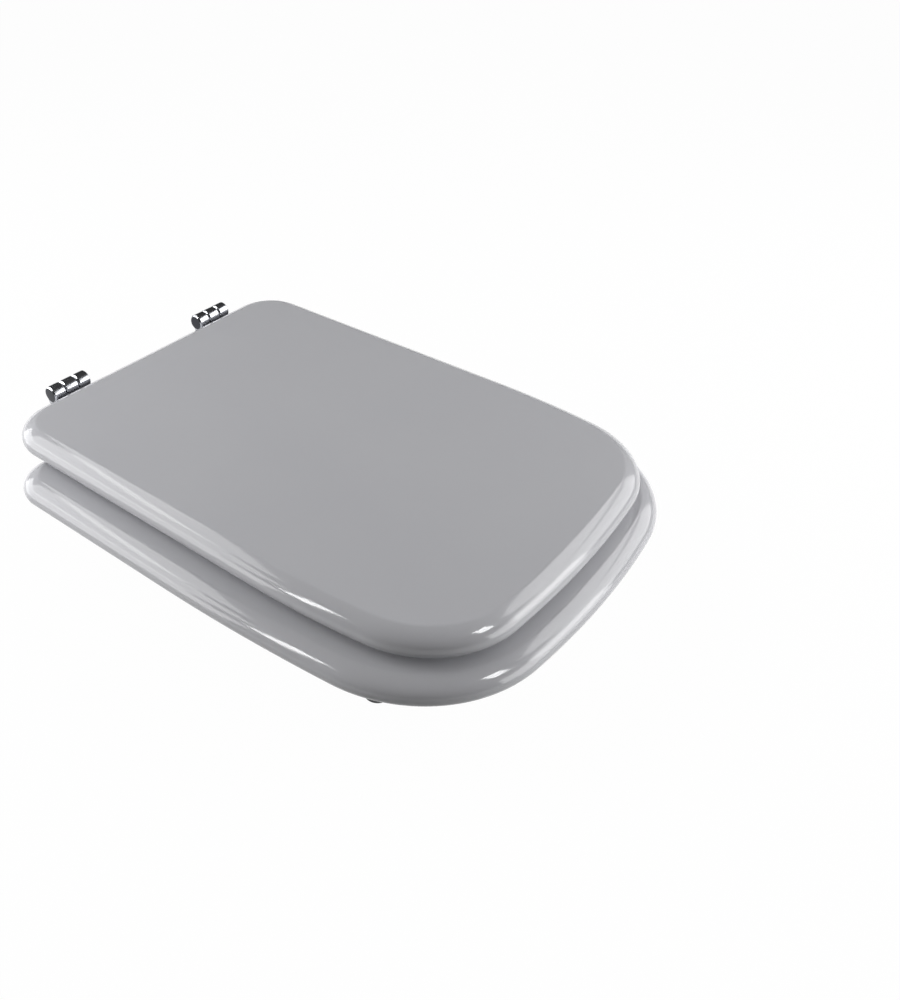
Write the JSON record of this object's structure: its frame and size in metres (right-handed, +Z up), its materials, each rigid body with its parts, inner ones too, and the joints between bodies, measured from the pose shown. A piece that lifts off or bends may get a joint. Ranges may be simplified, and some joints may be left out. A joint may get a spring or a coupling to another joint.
{
  "type": "toilet seat",
  "caption": "Toilet seat with a thick rounded D-shaped seat ring, a flat lid over it, chrome barrel hinges on fixing studs, and rubber buffers.",
  "frame": {"origin": "midway between the two fixing studs, on the deck of the bowl that the gaskets stand on", "axes": "+Z up, +Y towards the rear of the bowl, +X to the right of someone facing the bowl"},
  "size_m": [0.365, 0.4764, 0.1009],
  "materials": {
    "polyester": "poured gloss polyester coat, polished",
    "chrome": "bright chrome plate",
    "zinc_steel": "zinc plated",
    "white_plastic": "moulded, satin",
    "black_rubber": "moulded, matt",
    "grey_rubber": "moulded, matt"
  },
  "bodies": {
    "hinge_posts": {"right_post": "chrome", "left_post": "chrome", "right_hinge_pin": "zinc_steel", "left_hinge_pin": "zinc_steel", "right_spacer": "white_plastic", "left_spacer": "white_plastic", "right_gasket": "black_rubber", "left_gasket": "black_rubber", "right_stud": "zinc_steel", "left_stud": "zinc_steel", "right_clamp_washer": "black_rubber", "left_clamp_washer": "black_rubber", "right_flat_washer": "zinc_steel", "left_flat_washer": "zinc_steel", "right_wing_nut": "zinc_steel", "left_wing_nut": "zinc_steel"},
    "seat": {"seat_ring": "polyester", "right_seat_leaf": "chrome", "left_seat_leaf": "chrome", "seat_leaf_screws": "zinc_steel", "right_front_buffer": "grey_rubber", "left_front_buffer": "grey_rubber", "right_rear_buffer": "grey_rubber", "left_rear_buffer": "grey_rubber", "seat_buffer_screws": "zinc_steel"},
    "lid": {"lid_board": "polyester", "right_lid_leaf": "chrome", "left_lid_leaf": "chrome", "lid_leaf_screws": "zinc_steel", "right_lid_buffer": "grey_rubber", "left_lid_buffer": "grey_rubber"}
  },
  "joints": [
    {"name": "seat_hinge", "type": "hinge", "parent": "hinge_posts", "child": "seat", "pos_m": [0, 0.0175, 0.0492], "axis": [-1, 0, 0], "range_deg": [0, 95]},
    {"name": "lid_hinge", "type": "hinge", "parent": "seat", "child": "lid", "pos_m": [0, 0.0175, 0.0492], "axis": [-1, 0, 0], "range_deg": [0, 105]}
  ]
}
